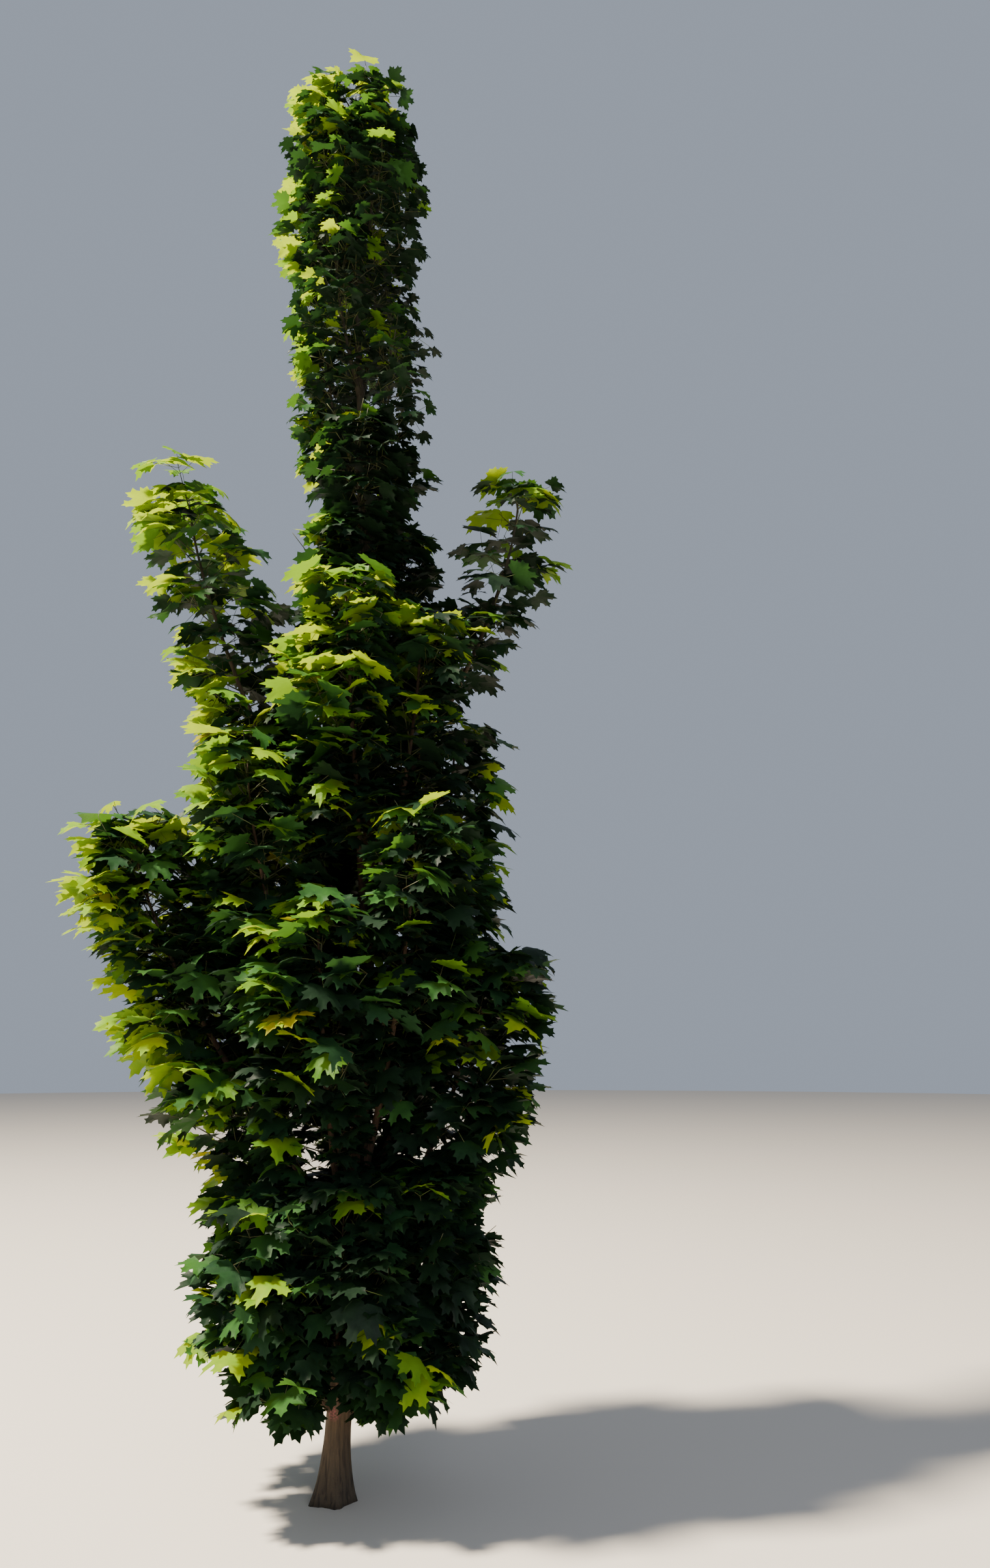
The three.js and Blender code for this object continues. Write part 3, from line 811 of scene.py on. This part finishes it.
SPACING = {"bough": 1, "skirt": 0.78, "column": 0.63, "top": 0.63}

twigs = []


def along_twig(root, way, out):
    """The place at a distance along a twig, which turns up towards its tip."""
    return root + way * out + UP * TWIG_TURN_UP * out**2


def twig_length(shoot, root, way, edge):
    """How far a twig grows until its leaves would leave the shoot's space."""
    length = 0
    while length <= edge:
        ahead = along_twig(root, way, length + TWIG_STEP)
        has_way = has_room(shoot, edge - TWIG_EDGE, ahead, (), TWIG_CREST, NO_LIMIT)
        if not has_way and length > TWIG_STEP:
            break
        length += TWIG_STEP
    return length


def grow_twig(shoot, share, bearing, lift):
    """Grows a twig out towards the edge of its shoot's space, then its leaves from the tip inwards."""
    dice = shoot["dice"]
    root = shoot_path(shoot, share)
    reach = LONG_REACH if dice.random() < shoot["long_twigs"] else SHORT_REACH
    edge = shoot["spread"] * dice.uniform(*reach)
    way = level(bearing, lift)
    length = twig_length(shoot, root, way, edge)
    twigs.append([along_twig(root, way, length * k / TWIG_PARTS) for k in range(TWIG_PARTS + 1)])
    light = twig_light(shoot, share, bearing, length, edge)
    whole = shoot["spread"] - TWIG_EDGE
    for k in range(WHORL):
        around = bearing + (k - (WHORL - 1) / 2) * WHORL_FAN
        rise = WHORL_RISE - WHORL_LOWER * (k % 2)
        add_leaf(shoot, edge, along_twig(root, way, length), around, rise, length / whole, light)
    for number in range(int((length - FIRST_LEAF_NODE) / LEAF_NODE_SPACING), -1, -1):
        out = FIRST_LEAF_NODE + number * LEAF_NODE_SPACING
        if out > length:
            continue
        for side in (-1, 1):
            if number % 2:
                around = bearing + side * STALK_LEAN
                rise = STALK_RISE
            else:
                around = bearing + dice.uniform(-UPRIGHT_SWING, UPRIGHT_SWING)
                rise = STALK_RISE + side * UPRIGHT_RISE
            add_leaf(shoot, edge, along_twig(root, way, out), around, rise, out / whole, light)


def grow_top(shoot):
    """Grows the cluster of leaves at a shoot's tip."""
    dice = shoot["dice"]
    for k in range(TOP_CLUSTER):
        around = math.tau * k / TOP_CLUSTER + dice.uniform(-TOP_SWING, TOP_SWING)
        light = LIGHT_HIGH * sun_on(shoot) + shoot_light(shoot) + LIGHT_SIDE * sunny(around)
        rise = TOP_RISE + TOP_HIGHER * (k % 2)
        add_leaf(shoot, shoot["spread"], shoot_path(shoot, 1), around, rise, TOP_OUT, light)


for name, shoot in shoots.items():
    dice = shoot["dice"] = random.Random(shoot["number"] + 1)
    shoot["taken"] = []
    free = name in OPEN_PLUMES or shoot["kind"] == "top"
    shoot["long_twigs"] = FREE_LONG_TWIGS if free else LONG_TWIGS
    grow_top(shoot)
    start = shoot["entry"]
    stem = (shoot_path(shoot, 1) - shoot_path(shoot, start)).length
    spacing = NODE_SPACING * OPEN_PLUMES.get(name, SPACING[shoot["kind"]])
    for number in range(int((stem - FIRST_NODE - LAST_NODE) / spacing), -1, -1):
        way = (FIRST_NODE + number * spacing) / stem
        lift = LIFT_LOW + (LIFT_HIGH - LIFT_LOW) * way
        pair = math.radians(shoot["azimuth"] + FIRST_PAIR + number * PAIR_TURN)
        for side in (0, math.pi):
            bearing = pair + side + dice.uniform(-TWIG_SWING, TWIG_SWING)
            grow_twig(shoot, start + (1 - start) * way, bearing, lift)

# Twigs and leaf stalks
# The twigs are thin green-brown wood in short straight lengths. The stalks are 3 to 12 cm long, mostly
# shorter than the blades are wide, and their green is mottled with brown.

TWIG_RADIUS = 0.0034
TWIG_SIDES = 4
TWIG_TAPER = 0.72
STALK_RADIUS = 0.0012
STALK_SIDES = 3
STALK_TAPER = 0.8


def arrays_of(mesh):
    """A triangulated bmesh as an array of points and an array of corners."""
    mesh.verts.ensure_lookup_table()
    points = np.array([vertex.co[:] for vertex in mesh.verts])
    corners = np.array([[vertex.index for vertex in face.verts] for face in mesh.faces])
    mesh.free()
    return points, corners


def unit_rod(sides, taper):
    """A thin cone's stump of height and foot radius 1, standing on the origin."""
    mesh = bmesh.new()
    bmesh.ops.create_cone(mesh, cap_ends=True, segments=sides, radius1=1, radius2=taper, depth=1)
    bmesh.ops.translate(mesh, vec=(0, 0, 0.5), verts=mesh.verts)
    bmesh.ops.triangulate(mesh, faces=mesh.faces)
    return arrays_of(mesh)


def laid_rod(points, start, end, radius):
    """A unit rod's points, stretched and turned so that it runs from start to end."""
    way = end - start
    turn = np.array(UP.rotation_difference(way).to_matrix()) * [radius, radius, way.length]
    return points @ turn.T + np.array(start)


def joined(name, copies, corners_of):
    """One mesh of many copies, each an array of points with an array of corners."""
    points = np.concatenate(copies)
    counts = np.cumsum([0] + [len(copy) for copy in copies[:-1]])
    corners = np.concatenate([faces + count for faces, count in zip(corners_of, counts)])
    data = bpy.data.meshes.new(name)
    data.vertices.add(len(points))
    data.vertices.foreach_set("co", points.astype(np.float32).ravel())
    data.loops.add(corners.size)
    data.loops.foreach_set("vertex_index", corners.astype(np.int32).ravel())
    data.polygons.add(len(corners))
    data.polygons.foreach_set("loop_start", np.arange(0, corners.size, 3, dtype=np.int32))
    data.polygons.foreach_set("loop_total", np.full(len(corners), 3, dtype=np.int32))
    data.update(calc_edges=True)
    data.validate()
    return data


def green_wood(name, skin, dark):
    """Young wood and leaf stalks: smooth, slightly waxy skin, mottled over a few centimetres."""
    material = new_material(name)
    place = add_node(material, "TexCoord", {}).outputs["Object"]
    mottle = add_node(material, "TexNoise", {"Vector": place, "Scale": 24, "Detail": 2})
    colour = add_node(material, "ValToRGB", {"Fac": mottle}, stops=[(0.35, dark), (0.65, skin)])
    surface = add_node(
        material, "BsdfPrincipled", {"Base Color": colour, "Roughness": 0.55, "IOR": 1.45}
    )
    add_node(material, "OutputMaterial", {"Surface": surface})
    return material


points, corners = unit_rod(TWIG_SIDES, TWIG_TAPER)
twig_rods = []
for bends in twigs:
    for k in range(TWIG_PARTS):
        twig_rods.append(laid_rod(points, bends[k], bends[k + 1], TWIG_RADIUS * TWIG_TAPER**k))
twig_wood = green_wood("green twig wood", skin="#454d26", dark="#2c2c19")
add_piece("twigs", joined("twigs", twig_rods, [corners] * len(twig_rods)), twig_wood)

points, corners = unit_rod(STALK_SIDES, STALK_TAPER)
stalk_rods = [laid_rod(points, node, joint, STALK_RADIUS) for node, joint in stalks]
stalk_data = joined("leaf_stalks", stalk_rods, [corners] * len(stalk_rods))
stalk_skin = green_wood("leaf stalk skin", skin="#4c5c26", dark="#423a20")
add_piece("leaf_stalks", stalk_data, stalk_skin)

# Leaves
# Five lobes with long pointed teeth, broader than long, folded a little along the veins, and drooping
# at the tips. The blade is thin enough for light to come through it yellow-green.

HALF_BLADE = {
    "joint": (0, 0),
    "middle vein": (0.5, 0),
    "middle tip": (1, 0),
    "middle notch": (0.87, 0.07),
    "middle tooth": (0.86, 0.2),
    "middle flank": (0.73, 0.15),
    "middle foot": (0.64, 0.17),
    "upper bay": (0.56, 0.24),
    "upper inner tooth": (0.72, 0.42),
    "upper inner notch": (0.65, 0.49),
    "upper vein": (0.34, 0.34),
    "upper tip": (0.73, 0.72),
    "upper outer notch": (0.55, 0.65),
    "upper outer tooth": (0.46, 0.76),
    "upper foot": (0.36, 0.61),
    "lower bay": (0.25, 0.54),
    "lower tooth": (0.22, 0.7),
    "lower notch": (0.12, 0.63),
    "lower vein": (0.0, 0.34),
    "lower tip": (-0.03, 0.74),
    "heel notch": (-0.08, 0.52),
    "heel tooth": (-0.19, 0.45),
    "heel": (-0.13, 0.24),
    "throat": (-0.08, 0.05),
}
HALF_BLADE_PARTS = (
    (
        *("joint", "middle vein", "middle tip", "middle notch"),
        *("middle tooth", "middle flank", "middle foot", "upper bay"),
    ),
    ("joint", "upper bay", "upper inner tooth", "upper inner notch", "upper tip", "upper vein"),
    (
        *("joint", "upper vein", "upper tip", "upper outer notch"),
        *("upper outer tooth", "upper foot", "lower bay"),
    ),
    ("joint", "lower bay", "lower tooth", "lower notch", "lower tip", "lower vein"),
    ("joint", "lower vein", "lower tip", "heel notch", "heel tooth", "heel", "throat"),
)
VEIN_TURN = math.pi / 4
BLADE_WAVES = 3
BLADE_SEAM = 0.001
PIECE_LIMIT = 190000


def blade(fold, curl, wave, turn):
    """A leaf of length 1 along +X: half its outline is filled, mirrored, folded, curled and waved."""
    mesh = bmesh.new()
    corners = {name: mesh.verts.new((along, across, 0)) for name, (along, across) in HALF_BLADE.items()}
    for part in HALF_BLADE_PARTS:
        mesh.faces.new([corners[name] for name in part])
    half = mesh.verts[:] + mesh.edges[:] + mesh.faces[:]
    bmesh.ops.mirror(mesh, geom=half, axis="Y", merge_dist=BLADE_SEAM)
    bmesh.ops.triangulate(mesh, faces=mesh.faces)
    bmesh.ops.recalc_face_normals(mesh, faces=mesh.faces)
    if mesh.faces[:][0].normal.z < 0:
        bmesh.ops.reverse_faces(mesh, faces=mesh.faces)
    for vertex in mesh.verts:
        along, across, _ = vertex.co
        out = math.hypot(along, across)
        angle = math.atan2(abs(across), along) / VEIN_TURN
        off_vein = out * math.sin(abs(angle - round(angle)) * VEIN_TURN)
        waving = wave * out**2 * math.sin(BLADE_WAVES * math.atan2(across, along) + turn)
        vertex.co.z = fold * off_vein - curl * out**2 + waving
    return arrays_of(mesh)


def leaf_skin(name, upper, dark, glow, translucent_share):
    """Maple leaf: a thin cuticle with a soft gloss over green tissue that passes yellow-green light.

    The mottle is 40 mm wide, between vein and vein, and a slow change over 0.3 m sets spray off
    against spray.
    """
    material = new_material(name)
    place = add_node(material, "TexCoord", {}).outputs["Object"]
    mottle = add_node(material, "TexNoise", {"Vector": place, "Scale": 25, "Detail": 3})
    slow = add_node(material, "TexNoise", {"Vector": place, "Scale": 3.3, "Detail": 1})
    both = add_node(material, "MixRGB", {"Fac": 0.5, "Color1": mottle, "Color2": slow})
    tissue = add_node(material, "ValToRGB", {"Fac": both}, stops=[(0.36, dark), (0.6, upper)])
    puckers = add_node(material, "TexNoise", {"Vector": place, "Scale": 60, "Detail": 2})
    bump = add_node(material, "Bump", {"Height": puckers, "Strength": 0.35, "Distance": 0.004})
    skin = add_node(
        material,
        "BsdfPrincipled",
        {"Base Color": tissue, "Roughness": 0.5, "IOR": 1.38, "Specular IOR Level": 0.2, "Normal": bump},
    )
    through = add_node(material, "BsdfTranslucent", {"Color": linear(glow), "Normal": bump})
    surface = add_node(material, "MixShader", {"Fac": translucent_share, 1: skin, 2: through})
    add_node(material, "OutputMaterial", {"Surface": surface})
    return material


# The six skins are one leaf skin in lit and shaded copies. The three darker green tints are painted shade
# and let less light through; the two brighter green ones are painted sunlight; the young one is the young
# leaves' own yellow in painted sunlight.
SKINS = {
    "shade": {"upper": "#182b1b", "dark": "#0f1d14", "glow": "#213e16", "translucent_share": 0.18},
    "deep": {"upper": "#213f24", "dark": "#162c1c", "glow": "#33581c", "translucent_share": 0.22},
    "middle": {"upper": "#305826", "dark": "#20411f", "glow": "#568420", "translucent_share": 0.27},
    "half_sunlit": {"upper": "#567f1e", "dark": "#3a641c", "glow": "#84ac12", "translucent_share": 0.34},
    "sunlit": {"upper": "#7a9a10", "dark": "#568610", "glow": "#acc008", "translucent_share": 0.37},
    "young": {"upper": "#948e1a", "dark": "#7a821e", "glow": "#bcb40e", "translucent_share": 0.37},
}
blades = [blade(**shape) for shape in BLADE_SHAPES]
per_piece = PIECE_LIMIT // len(blades[0][1])
mass_nodes = ["mass_" + name for name in shoots]
for tint in TINTS:
    skin = leaf_skin(tint + " maple leaf", **SKINS[tint])
    for number, first in enumerate(range(0, len(leaves[tint]), per_piece)):
        copies = []
        corners_of = []
        for turn, joint, size, shape in leaves[tint][first : first + per_piece]:
            points, corners = blades[shape]
            copies.append(points @ (np.array(turn) * size).T + np.array(joint))
            corners_of.append(corners)
        name = f"leaves_{tint}_{number + 1}"
        add_piece(name, joined(name, copies, corners_of), skin, mass_nodes)
        mass_nodes = []

# Floor and light
# A pale studio floor that runs out of sight, a strong soft lamp high up on the left, the tree's sunny
# side, and a weaker wide one from the front.

FLOOR_RADIUS = 40
FLOOR_SIDES = 64
FLOOR_COLOUR = "#c9c2b8"
SKY_COLOUR = "#d3dff2"
SKY_STRENGTH = 0.5
TREE_MIDDLE = Vector((0, 0, 3))

floor_mesh = bmesh.new()
bmesh.ops.create_circle(floor_mesh, cap_ends=True, segments=FLOOR_SIDES, radius=FLOOR_RADIUS)
floor_data = bpy.data.meshes.new("floor")
floor_mesh.to_mesh(floor_data)
floor_mesh.free()
floor_paint = new_material("pale studio floor")
paint = add_node(floor_paint, "BsdfPrincipled", {"Base Color": linear(FLOOR_COLOUR), "Roughness": 0.9})
add_node(floor_paint, "OutputMaterial", {"Surface": paint})
floor_data.materials.append(floor_paint)
floor = bpy.data.objects.new("floor", floor_data)
bpy.context.scene.collection.objects.link(floor)
floor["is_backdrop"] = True


def add_lamp(name, place, size, power, colour):
    """A square soft lamp that faces the middle of the tree."""
    lamp = bpy.data.lights.new(name, "AREA")
    lamp.shape = "SQUARE"
    lamp.size = size
    lamp.energy = power
    lamp.color = linear(colour)[:3]
    stand = bpy.data.objects.new(name, lamp)
    stand.location = place
    stand.rotation_euler = (TREE_MIDDLE - Vector(place)).to_track_quat("-Z", "Y").to_euler()
    bpy.context.scene.collection.objects.link(stand)


add_lamp("key_lamp", place=(-9.3, -3.3, 19), size=2, power=21400, colour="#fff2dc")
add_lamp("fill_lamp", place=(3.5, -9, 5), size=6, power=340, colour="#eef3ff")
world = bpy.data.worlds.new("studio")
world.use_nodes = True
sky = world.node_tree.nodes["Background"].inputs
sky["Color"].default_value = linear(SKY_COLOUR)
sky["Strength"].default_value = SKY_STRENGTH
bpy.context.scene.world = world

# Size of the dressed tree: one box round everything shown but the floor

low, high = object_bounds()
